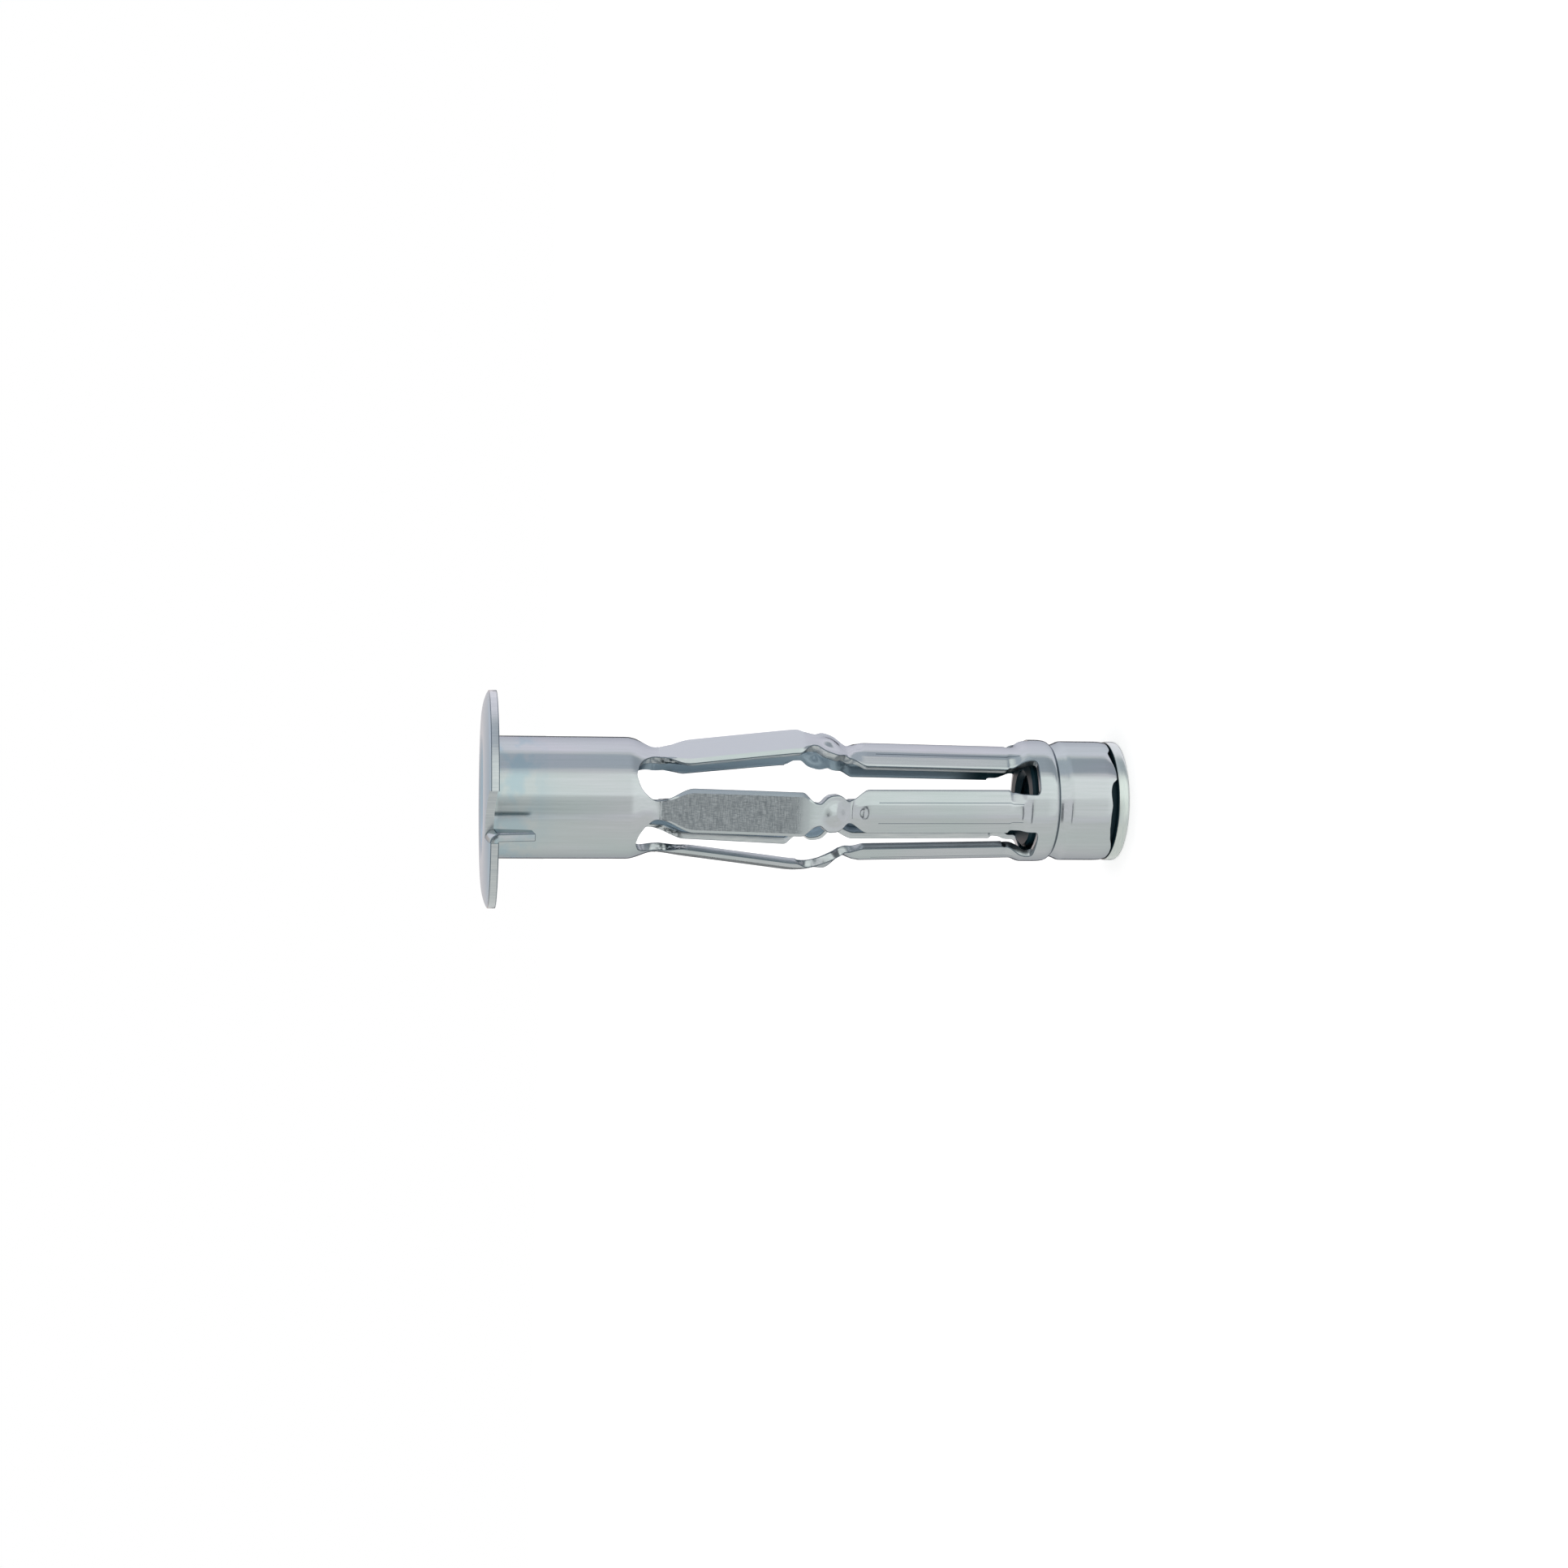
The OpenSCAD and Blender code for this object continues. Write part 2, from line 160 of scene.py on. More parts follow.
def relief(u, d):
    width = abs(u)
    x = u * leg_half(d)
    coined = ease(d, NECK + 0.06, NECK + 0.12) * (1 - ease(d, PADDLE_END, FOLD_NECK))
    paddle = ease(d, NECK + 0.3, PADDLE - 0.6) * (1 - ease(d, PADDLE_END, FOLD_NECK - 0.3))
    rim = RIM_DROP * max(0.0, (width - RIM_AT) / (1 - RIM_AT)) * paddle
    channel = ease(d, WAIST - 0.1, CHANNEL) * (1 - ease(d, TAB + 0.2, TAB + 1.3))
    top = CROWN * min(1.0, width / CREASE_AT) ** 2
    side = SIDE_FALL * max(0.0, (width - CREASE_AT) / (1 - CREASE_AT))
    score = SCORE_DEPTH * max(0.0, 1 - abs(width - CREASE_AT) / SCORE_W)
    from_dome = math.hypot(x, d - KNUCKLE)
    dome = DOME_H * (0.5 + 0.5 * math.cos(math.pi * min(1.0, from_dome / DOME_R)))
    from_dimple = math.hypot(x, d - DIMPLE_AT)
    dimple = DIMPLE_DEPTH * (1 - ease(from_dimple, 0.3 * DIMPLE_R, DIMPLE_R))
    return COIN_STEP * coined + rim + channel * (top + side + score) - dome + dimple


# %% [markdown]
# ## One sector of the sleeve
# The sleeve is the same every 72 degrees, so one sector is enough: half a slot, a leg and half a slot.
# It is a grid whose columns fan out over the collar and squeeze together along the leg.
# The mix of the two sections, round on the collar and flat on the leg, is what keeps the skin in one piece.

# %% Rows and columns of the sector
FLANGE_DROP, CROWN_R, BEND_R = 0.5, 5.8, 0.3
# Columns across half a leg, closest where the channel's crease is scored
COLUMNS = [0, 0.12, 0.24, 0.36, 0.43, 0.455, 0.485, 0.51, 0.6, 0.7, 0.78, 0.82, 0.88, 1]
SLEEVE_END = 1.3
across = [-u for u in COLUMNS[:0:-1]] + COLUMNS
# Radius of the crimped end at heights above the nut's end face: bead, groove and end collar
CRIMP_Z = [7.47, 6.75, 6.4, 6.16, 5.98, 5.86, 5.78, 5.72, 5.64, 5.4, 5.1, 4.9, 4.76, 4.6, 1.8, 1.55, 1.3]
CRIMP_R = [5.0, 5.0, 4.98, 4.94, 4.87, 4.78, 4.66, 4.56, 4.57, 4.63, 4.74, 4.84, 4.885, 4.9, 4.9, 4.88, 4.82]


def flange_fall(r):
    """Fall of the domed flange at a radius, below its crown."""
    return FLANGE_DROP * max(0.0, (r - CROWN_R) / (flange_r - CROWN_R)) ** 3


def flange_row(r):
    return r, length - SHEET - flange_fall(r)


def bend_row(angle):
    turn = math.radians(angle)
    centre_r, centre_z = COLLAR_R + BEND_R, length - SHEET - BEND_R
    return centre_r + BEND_R * math.cos(turn), centre_z + BEND_R * math.sin(turn)


def spread(start, end, step):
    count = max(1, round((end - start) / step))
    return [start + (end - start) * i / count for i in range(count)]


round_rows = [flange_row(r) for r in np.linspace(flange_r, COLLAR_R + BEND_R, 20)[:-1]]
round_rows += [bend_row(a) for a in np.linspace(90, 180, 7)]
leg_rows = (
    spread(1.2, 11.4, 0.5) + spread(11.4, NECK, 0.12) + spread(NECK, NECK + 0.2, 0.04)
    + spread(NECK + 0.2, PADDLE, 0.16) + spread(PADDLE, PADDLE_END, 0.4)
    + spread(PADDLE_END, DIP - 0.03, 0.11) + spread(DIP - 0.03, DIP + 0.03, 0.06)
    + spread(DIP + 0.03, CHANNEL + 0.7, 0.11) + spread(CHANNEL + 0.7, TAB - 0.3, 0.5)
    + spread(TAB - 0.3, SLOT_BASE - SLOT_CORNER, 0.12)
    + spread(SLOT_BASE - SLOT_CORNER, SLOT_BASE, 0.05) + [SLOT_BASE]
)
crimp_rows = [*np.linspace(7.35, 6.4, 8), *np.arange(6.34, 4.5, -0.06), *np.linspace(4.4, SLEEVE_END, 30)]
print(f"{len(round_rows) + len(leg_rows)} rows down to the slots' ends, {len(crimp_rows)} rows in the crimped end")

# %% Points of the sector
# The finishes that a face of the sheet can have, in the order of its material slots
SHEET_FACES, COINED_FACES, INNER_FACES, SHEARED_FACES, DARK_LINE_SHADE_FACES = range(5)
points, faces, finishes = [], [], []


def polar(r, angle, z):
    return r * math.sin(angle), -r * math.cos(angle), z


def add_row(row):
    first = len(points)
    points.extend(row)
    return list(range(first, len(points)))


def finish_at(u, d):
    """The finish of the sheet at a place on a leg: coined on the paddle, painted dark as shade in the creases of
    the channel.
    """
    if NECK + 0.08 < d < PADDLE_END + 0.6 and u < RIM_AT:
        return COINED_FACES
    creased = CHANNEL + 0.7 < d < TAB + 0.9 and abs(u - CREASE_AT) < 0.01
    return DARK_LINE_SHADE_FACES if creased else SHEET_FACES


def join(upper, lower, d=0.0):
    """Faces between two rows of equal length, wound so that they look outwards."""
    for i in range(len(upper) - 1):
        faces.append((upper[i], lower[i], lower[i + 1], upper[i + 1]))
        middle = abs(across[i] + across[i + 1]) / 2 if len(upper) == len(across) else 1
        finishes.append(finish_at(middle, d))


def leg_point(u, d):
    flat = ease(d, SLOT_TOP + 0.9, NECK + 0.3) * (1 - ease(d, TAB + 0.3, TAB + 1.4))
    r = leg_radius(d) if d > NECK else head_radius(d)
    turn = u * (slot_angle(d) if d < NECK else math.asin(leg_half(d) / r))
    round_x, round_y, z = polar(r - (0 if d < NECK else relief(u, d)), turn, length - d)
    flat_x, flat_y = u * leg_half(max(d, NECK)), -(r - relief(u, d))
    return round_x + (flat_x - round_x) * flat, round_y + (flat_y - round_y) * flat, z


rows = [add_row([polar(r, u * HALF_STEP, z) for u in across]) for r, z in round_rows]
rows += [add_row([leg_point(u, d) for u in across]) for d in leg_rows]
depths = [0.0] * len(round_rows) + leg_rows
for upper, lower, d0, d1 in zip(rows, rows[1:], depths, depths[1:]):
    join(upper, lower, (d0 + d1) / 2)

# %% Points of the crimped end
tab_turn = math.asin(leg_half(SLOT_BASE) / BEAD_R)
beside = [tab_turn + (HALF_STEP - tab_turn) * i / 8 for i in range(1, 9)]


def crimp_row(z):
    r = np.interp(z, CRIMP_Z[::-1], CRIMP_R[::-1])
    turns = [-a for a in beside[::-1]] + [u * tab_turn for u in across] + beside
    return add_row([polar(r, a, z) for a in turns])


slot_z = length - SLOT_BASE
left = add_row([polar(BEAD_R, -a, slot_z) for a in beside[::-1]])
right = add_row([polar(BEAD_R, a, slot_z) for a in beside])
ring = [left + rows[-1] + right] + [crimp_row(z) for z in crimp_rows]
for upper, lower in zip(ring, ring[1:]):
    join(upper, lower)
print(f"sector: {len(points)} points, {len(faces)} faces, {finishes.count(COINED_FACES)} of them coined")

# %% [markdown]
# ## Materials
# Bright zinc plating is a mirror-like metal under a thin passivation film. The film gives it a cool cast, and the
# drawn sheet below it softens the reflections along the tube. Colours are written as they look on screen.

# %% Colour and node helpers


def linear(code):
    """Linear colour of an sRGB hex code."""
    channels = [int(code[i:i + 2], 16) / 255 for i in (1, 3, 5)]
    return [c / 12.92 if c <= 0.04045 else ((c + 0.055) / 1.055) ** 2.4 for c in channels] + [1.0]


def add(tree, kind, values=(), **settings):
    """Add a node, set its properties, then set or link its inputs by name or number."""
    node = tree.nodes.new(kind)
    for name, value in settings.items():
        setattr(node, name, value)
    for name, value in dict(values).items():
        if isinstance(value, bpy.types.NodeSocket):
            tree.links.new(value, node.inputs[name])
        else:
            node.inputs[name].default_value = value
    return node


def new_material(name):
    material = bpy.data.materials.new(name)
    material.use_nodes = True
    tree = material.node_tree
    tree.nodes.clear()
    shader = add(tree, "ShaderNodeBsdfPrincipled")
    add(tree, "ShaderNodeOutputMaterial", {"Surface": shader.outputs["BSDF"]})
    return material, tree, shader


# %% Patterns in millimetres


def grain(tree, across, along, seed=0.0, detail=3.0):
    """Noise whose grains are across and along the anchor's axis by the given millimetres."""
    place = add(tree, "ShaderNodeTexCoord")
    size = add(tree, "ShaderNodeMapping", {
        "Vector": place.outputs["Object"], "Scale": (1 / (across * MM), 1 / (across * MM), 1 / (along * MM)),
        "Location": (seed, seed, seed)})
    return add(tree, "ShaderNodeTexNoise", {
        "Vector": size.outputs[0], "Scale": 1.0, "Detail": detail, "Roughness": 0.55}).outputs["Fac"]


def step(tree, low, high, axis="Z"):
    """A soft step from 0 to 1 between two places along an axis of the anchor, in millimetres."""
    place = add(tree, "ShaderNodeTexCoord")
    parts = add(tree, "ShaderNodeSeparateXYZ", {0: place.outputs["Object"]})
    span = {"Value": parts.outputs[axis], "From Min": low * MM, "From Max": high * MM}
    return add(tree, "ShaderNodeMapRange", span, interpolation_type="SMOOTHSTEP").outputs[0]


def times(tree, first, second):
    """The product of two numbers."""
    return add(tree, "ShaderNodeMath", {0: first, 1: second}, operation="MULTIPLY").outputs[0]


def between(tree, factor, low, high, first, last):
    """A number that runs from first to last while the factor runs from low to high."""
    return add(tree, "ShaderNodeMapRange", {
        "Value": factor, "From Min": low, "From Max": high, "To Min": first, "To Max": last}).outputs[0]


def tint(tree, factor, first, last):
    """A mix of two sRGB colours."""
    return add(tree, "ShaderNodeMix", {
        "Factor": factor, 6: linear(first) if isinstance(first, str) else first,
        7: linear(last) if isinstance(last, str) else last}, data_type="RGBA").outputs[2]


def bump(tree, factor, depth):
    """A normal for a relief of the given depth in millimetres."""
    return add(tree, "ShaderNodeBump", {"Height": factor, "Distance": depth * MM, "Strength": 1.0}).outputs[0]


# %% Bright zinc plating on drawn sheet
# The film is bluer in blotches under the flange, and the sharp line of the crimped groove is painted dark as shade
zinc, tree, shader = new_material("bright zinc plating on drawn sheet")
film = grain(tree, 5.0, 9.0, seed=3.1, detail=1.0)
drawn = grain(tree, 0.22, 7.0)
cool = tint(tree, between(tree, film, 0.35, 0.65, 0, 1), "#b0b9bb", "#b6b9be")
base = tint(tree, between(tree, drawn, 0.3, 0.7, 0, 0.35), cool, "#a7b0af")
blotches = between(tree, grain(tree, 2.2, 1.6, seed=4.2), 0.42, 0.6, 0, 1)
under_flange = times(tree, step(tree, 45.6, 49.5), step(tree, 51.3, 51.1))
bluish = tint(tree, times(tree, blotches, under_flange), base, "#a2b3ba")
# Painted shade: a thin dark line at the bottom of the crimped groove
groove_painted_shade = times(tree, step(tree, 5.62, 5.7), step(tree, 5.84, 5.76))
tree.links.new(tint(tree, groove_painted_shade, bluish, "#56626a"), shader.inputs["Base Color"])
tree.links.new(between(tree, drawn, 0.3, 0.7, 0.13, 0.2), shader.inputs["Roughness"])
tree.links.new(bump(tree, drawn, 0.004), shader.inputs["Normal"])
shader.inputs["Metallic"].default_value = 1.0
shader.inputs["Specular Tint"].default_value = linear("#c8cace")

# %% Coined paddle face
# The die left crossed scratches, drawn coarse enough to show in the picture. Only the leg on the
# -Y side, which faces the camera, has them, with a darker tone that is painted shade; the others are plain.
coined, tree, shader = new_material("coined zinc-plated face")
along = grain(tree, 0.06, 0.9, seed=1.7, detail=4.0)
over = grain(tree, 0.7, 0.06, seed=5.3, detail=4.0)
wear = grain(tree, 0.35, 0.35, seed=8.9)
hatch = times(tree, along, over)
# Scratches, and a darker tone that is painted shade, on the -Y leg only
scratched_leg_painted_shade = times(tree, step(tree, 26.4, 28.6), step(tree, -3.9, -4.3, "Y"))
lines = times(tree, hatch, scratched_leg_painted_shade)
dark = tint(tree, between(tree, hatch, 0.16, 0.36, 0, 1), "#868d91", "#b4babd")
base = tint(tree, between(tree, wear, 0.35, 0.7, 0, 0.4), dark, "#8f969a")
tree.links.new(tint(tree, scratched_leg_painted_shade, "#afb6b9", base), shader.inputs["Base Color"])
tree.links.new(between(tree, times(tree, over, scratched_leg_painted_shade), 0, 0.7, 0.24, 0.36), shader.inputs["Roughness"])
tree.links.new(bump(tree, lines, 0.022), shader.inputs["Normal"])
shader.inputs["Metallic"].default_value = 1.0

# %% Cut edges: sheared across the sheet, and rolled over at both sides by the punch
# The edges are a little torn beside the necks, where the sheet is drawn in
sheared, tree, shader = new_material("sheared sheet edge")
torn = grain(tree, 0.25, 0.35, seed=2.2)
at_neck = times(tree, step(tree, 35.2, 36.2), step(tree, 38.4, 37.6))
tears = times(tree, between(tree, torn, 0.42, 0.55, 0, 1), at_neck)
drag = grain(tree, 0.1, 2.5, seed=4.4)
plain = tint(tree, between(tree, drag, 0.35, 0.65, 0, 1), "#adb4b8", "#bec3c5")
tree.links.new(tint(tree, tears, plain, "#3c4549"), shader.inputs["Base Color"])
shader.inputs["Metallic"].default_value = 1.0
shader.inputs["Roughness"].default_value = 0.3

# The rolled edges and the scored creases of the channel are painted dark: painted shade along every cut and crease
rolled, tree, shader = new_material("rolled edge and crease, painted dark as shade")
shader.inputs["Metallic"].default_value = 1.0
shader.inputs["Roughness"].default_value = 0.2
shader.inputs["Base Color"].default_value = linear("#67727a")

# %% The inside of the sheet and the nut
# The inside of the tube is painted duller, darker and bluer than the outside as shade, a little lighter on the head
# side as painted light, and darker still round the nut, painted shade deep in the tube
inner, tree, shader = new_material("zinc plating inside the tube, painted with its shade")
clear_of_nut_shade = step(tree, 10.5, 13.5)
head_side_painted_light = step(tree, 21, 24.5)
# Painted light: the inside is lighter above 24.5 mm than below 21 mm
inner_shade_and_light = tint(tree, head_side_painted_light, "#8496a1", "#9fb1bd")
# Painted shade: almost black round the nut, below 10.5 mm
tree.links.new(tint(tree, clear_of_nut_shade, "#1c3a42", inner_shade_and_light), shader.inputs["Base Color"])
shine = times(tree, between(tree, head_side_painted_light, 0, 1, 1, 0.8), between(tree, clear_of_nut_shade, 0, 1, 0.1, 1))
tree.links.new(shine, shader.inputs["Metallic"])
shader.inputs["Specular IOR Level"].default_value = 0.12
tree.links.new(between(tree, clear_of_nut_shade, 0, 1, 0.5, 0.3), shader.inputs["Roughness"])

nut_zinc, tree, shader = new_material("bright zinc plating on the nut")
turned = grain(tree, 0.9, 0.05, seed=6.1)
pale = tint(tree, between(tree, turned, 0.3, 0.7, 0, 1), "#bcc5c4", "#c9cfcc")
# Painted shade: above its flange, where it sits inside the tube, the nut is almost black and hardly metallic
nut_flange_clear_of_shade = step(tree, 0.895, 0.86)
tree.links.new(tint(tree, nut_flange_clear_of_shade, "#0f2a33", pale), shader.inputs["Base Color"])
tree.links.new(between(tree, nut_flange_clear_of_shade, 0, 1, 0.1, 1), shader.inputs["Metallic"])
tree.links.new(between(tree, nut_flange_clear_of_shade, 0, 1, 0.4, 0.27), shader.inputs["Roughness"])
shader.inputs["Specular IOR Level"].default_value = 0.15
print("finishes:", ", ".join(m.name for m in (zinc, coined, inner, sheared, rolled, nut_zinc)))

# %% [markdown]
# ## Five sectors make the sleeve
# Geometry Nodes turn the sector round the axis. The sectors share their edges, so they are realised and their
# doubled points merged. Every face carries its finish as a number, which is kept for the next steps.

# %% The tree that repeats the sector


def add_object(name, mesh):
    """An object on a mesh, linked to the scene."""
    ob = bpy.data.objects.new(name, mesh)
    bpy.context.scene.collection.objects.link(ob)
    return ob


sector_mesh = bpy.data.meshes.new("sector")
sector_mesh.from_pydata((np.array(points) * MM).tolist(), [], faces)
mark = sector_mesh.attributes.new("finish", "INT", "FACE")
mark.data.foreach_set("value", finishes)
sector = add_object("sleeve_skin", sector_mesh)

ring_tree = bpy.data.node_groups.new("sectors round an axis", "GeometryNodeTree")
for name, kind, way in (
    ("Geometry", "NodeSocketGeometry", "INPUT"),
    ("Count", "NodeSocketInt", "INPUT"),
    ("Merge distance", "NodeSocketFloat", "INPUT"),
    ("Sheet", "NodeSocketMaterial", "INPUT"),
    ("Geometry", "NodeSocketGeometry", "OUTPUT"),
):
    ring_tree.interface.new_socket(name, in_out=way, socket_type=kind)
given = add(ring_tree, "NodeGroupInput").outputs
dots = add(ring_tree, "GeometryNodeMeshLine", {"Count": given["Count"], "Offset": (0, 0, 0)})
index = add(ring_tree, "GeometryNodeInputIndex")
part = add(ring_tree, "ShaderNodeMath", {0: index.outputs[0], 1: given["Count"]}, operation="DIVIDE")
about = add(ring_tree, "ShaderNodeCombineXYZ", {"Z": times(ring_tree, part.outputs[0], math.tau)})
placed = add(ring_tree, "GeometryNodeInstanceOnPoints", {
    "Points": dots.outputs[0], "Instance": given["Geometry"], "Rotation": about.outputs[0]})
real = add(ring_tree, "GeometryNodeRealizeInstances", {"Geometry": placed.outputs[0]})
merged = add(ring_tree, "GeometryNodeMergeByDistance", {
    "Geometry": real.outputs[0], "Distance": given["Merge distance"]})
plated = add(ring_tree, "GeometryNodeSetMaterial", {"Geometry": merged.outputs[0], "Material": given["Sheet"]})
add(ring_tree, "NodeGroupOutput", {"Geometry": plated.outputs[0]})

# %% The tree runs on the sector


def run_tree(ob, tree, values):
    """Put a tree on an object, set its named inputs, and keep the result as a plain mesh."""
    modifier = ob.modifiers.new(tree.name, "NODES")
    modifier.node_group = tree
    sockets = {s.name: s.identifier for s in tree.interface.items_tree if s.in_out == "INPUT"}
    for name, value in values.items():
        modifier[sockets[name]] = value
    return settle(ob)


def settle(ob):
    """Replace an object's mesh by its evaluated one and drop its modifiers."""
    graph = bpy.context.evaluated_depsgraph_get()
    mesh = bpy.data.meshes.new_from_object(ob.evaluated_get(graph))
    ob.modifiers.clear()
    ob.data = mesh
    return mesh


skin = run_tree(sector, ring_tree, {"Count": LEGS, "Merge distance": 0.002 * MM, "Sheet": zinc})
print(f"five sectors: {len(skin.vertices)} points, {len(skin.polygons)} faces")

# %% [markdown]
# ## Marks of handwork in the machine
# The end of a real sleeve is not cut square: where it was crimped round the nut it is a little ragged, so the gap
# before the nut's flange opens and closes. The flange also sits a little off the axis of the tube.

# %% Ragged end and a flange slightly out of true
CAMERA_TURN = 13
FACING = math.radians(CAMERA_TURN - 90)
NUT_FLANGE, RAGGED_BELOW, FLANGE_SHIFT = 0.9, 1.9, 0.18
# Gap before the nut's flange in millimetres, at angles round the sleeve counted from the camera's side
GAP_ANGLE = [-180, -140, -100, -62, -53, -46, -40, -28, -15, -4, 8, 14, 18, 21, 27, 33, 42, 53, 60, 75, 120, 180]
GAP = [.12, .05, .2, .04, .08, .2, .36, .52, .54, .46, .58, .5, .36, .06, .03, .08, .26, .4, .12, .1, .02, .12]
co = np.zeros(len(skin.vertices) * 3)
skin.vertices.foreach_get("co", co)
co = co.reshape(-1, 3)
angle = np.degrees((np.arctan2(co[:, 1], co[:, 0]) - FACING + math.pi) % math.tau - math.pi)
gap = np.interp(angle, GAP_ANGLE, GAP)
weight = np.clip((RAGGED_BELOW - co[:, 2] / MM) / (RAGGED_BELOW - SLEEVE_END), 0, 1)
co[:, 2] += weight * (NUT_FLANGE + gap - SLEEVE_END) * MM
off_centre = ease(np.hypot(co[:, 0], co[:, 1]) / MM, CROWN_R - 0.6, flange_r) * FLANGE_SHIFT * MM
co[:, 0] -= off_centre * math.cos(FACING + math.pi / 2)
co[:, 1] -= off_centre * math.sin(FACING + math.pi / 2)
skin.vertices.foreach_set("co", co.ravel())
skin.update()
print(f"gap before the nut's flange: {min(GAP)} to {max(GAP)} mm")

# %% [markdown]
# ## From skin to sheet
# The skin becomes sheet steel when every point gets a partner one thickness inside it. Doing it by hand, rather
# than with a Solidify modifier, keeps the outer face, the inner face and the sheared edge apart for their finishes.
# The punch rolls the edges over a little, and that thin round, painted dark as shade, draws a dark line along every
# cut.

# %% Give the sheet its thickness
BROKEN, ROLL_ANGLES = 0.07, [math.radians(a) for a in (0, 30, 60, 90)]


def into_sheet(outer, walls, edge, through):
    """Unit vectors from the points on the skin's edges into the sheet, along its face."""
    into = np.zeros_like(outer)
    for wall in walls:
        for v in edge.intersection(wall):
            into[v] += outer[list(wall)].mean(axis=0) - outer[v]
    into -= (into * through).sum(axis=1, keepdims=True) * through
    return into / np.maximum(np.linalg.norm(into, axis=1, keepdims=True), 1e-9)


def add_finishes(mesh):
    for material in (zinc, coined, inner, sheared, rolled):
        mesh.materials.append(material)


def edge_rows(outer, back, edge, into, through):
    """Rows of points that roll from the outer skin, over the edge, to the inner skin."""
    rows = []
    for points_of_skin, sign, angles in ((outer, 1, ROLL_ANGLES), (back, -1, ROLL_ANGLES[::-1])):
        for a in angles:
            roll = (1 - math.sin(a)) * into[edge] + sign * (1 - math.cos(a)) * through[edge]
            rows.append(points_of_skin[edge] + BROKEN * MM * roll)
    return rows


def inward_normals(mesh, outer):
    through = np.zeros(len(outer) * 3)
    mesh.vertex_normals.foreach_get("vector", through)
    through = -through.reshape(-1, 3)
    # The flange is blanked square to its face, so its two skins keep the same radius
    on_flange = outer[:, 2] / MM > length - 2 * SHEET
    on_flange &= np.hypot(outer[:, 0], outer[:, 1]) / MM > COLLAR_R + BEND_R + 0.1
    through[on_flange] = (0, 0, 1)
    return through


def thicken(mesh, thickness):
    """Turn a skin into sheet whose cut edges are rounded over by BROKEN on both sides."""
    count = len(mesh.vertices)
    outer = np.zeros(count * 3)
    mesh.vertices.foreach_get("co", outer)
    outer = outer.reshape(-1, 3)
    through = inward_normals(mesh, outer)
    back = outer + through * thickness
    walls = [tuple(p.vertices) for p in mesh.polygons]
    finish = [0] * len(walls)
    mesh.attributes["finish"].data.foreach_get("value", finish)
    linked = {pair for wall in walls for pair in zip(wall, wall[1:] + wall[:1])}
    rim = [(a, b) for a, b in linked if (b, a) not in linked]
    edge = sorted({v for pair in rim for v in pair})
    into = into_sheet(outer, walls, set(edge), through)
    rows = edge_rows(outer, back, edge, into, through)
    outer[edge], back[edge] = rows[0], rows[-1]
    # Numbers of the points in each row: the skins' own at both ends, new ones between
    starts = [2 * count + k * len(edge) for k in range(len(rows) - 2)]
    numbers = [edge] + [range(start, start + len(edge)) for start in starts] + [[v + count for v in edge]]
    place = {v: i for i, v in enumerate(edge)}
    strips = [
        (here[place[b]], here[place[a]], there[place[a]], there[place[b]])
        for here, there in zip(numbers, numbers[1:]) for a, b in rim]
    finish += [INNER_FACES] * len(walls)
    for k in range(len(rows) - 1):
        finish += [SHEARED_FACES if k == len(ROLL_ANGLES) - 1 else DARK_LINE_SHADE_FACES] * len(rim)
    inside = [tuple(v + count for v in reversed(wall)) for wall in walls]
    solid = bpy.data.meshes.new("sheet")
    solid.from_pydata(np.concatenate([outer, back] + rows[1:-1]).tolist(), [], walls + inside + strips)
    add_finishes(solid)
    solid.polygons.foreach_set("material_index", finish)
    return solid


sector.data = thicken(skin, SHEET * MM)
print(f"sheet: {len(sector.data.polygons)} faces")

# %% [markdown]
# ## Prongs
# Two strips are cut free at the flange's rim and folded down. They bite into the board and stop the anchor turning.
# Each leaves a notch, which a Boolean cuts, and the folded strip is a short bent grid joined on beside it.

# %% Cutters for the notches
PRONG_W, PRONG_TIP_W, PRONG_LEN, PRONG_TURN = 1.2, 0.8, 2.9, -98
BEND_OUT, BEND_IN = 0.75, 0.1
FOLD_AT = SHEET / 2 - BEND_OUT


def on_prong_side(name, bm, side):
    """An object from a bmesh, turned to the first prong's place on the flange or to the one across from it."""
    turn = Matrix.Rotation(math.radians(PRONG_TURN), 4, "Z") @ Matrix.Diagonal((side, 1, 1, 1))
    bmesh.ops.transform(bm, matrix=turn, verts=bm.verts)
    bmesh.ops.recalc_face_normals(bm, faces=bm.faces)
    mesh = bpy.data.meshes.new(name)
    bm.to_mesh(mesh)
    bm.free()
    return add_object(name, mesh)


def prism(name, outline, low, high, side):
    """An upright prism on an outline of (out along the prong, across it)."""
    bm = bmesh.new()
    floor = [bm.verts.new((x * MM, y * MM, low * MM)) for x, y in outline]
    roof = [bm.verts.new((x * MM, y * MM, high * MM)) for x, y in outline]
    bm.faces.new(floor)
    bm.faces.new(roof)
    for i in range(len(outline)):
        bm.faces.new((floor[i - 1], floor[i], roof[i], roof[i - 1]))
    return on_prong_side(name, bm, side)


notch = [
    (flange_r - PRONG_W, FOLD_AT),
    (flange_r - (PRONG_W + PRONG_TIP_W) / 2, SHEET + PRONG_LEN),
    (flange_r + 1, SHEET + PRONG_LEN),
    (flange_r + 1, FOLD_AT),
]
SIDES = (1, -1)
cutters = [prism(f"notch_{side}", notch, length - 3 * SHEET, length + SHEET, side) for side in SIDES]
print(f"{len(cutters)} notches, {PRONG_W} mm deep in the rim")

# %% The folded strips


TIP = PRONG_LEN + SHEET
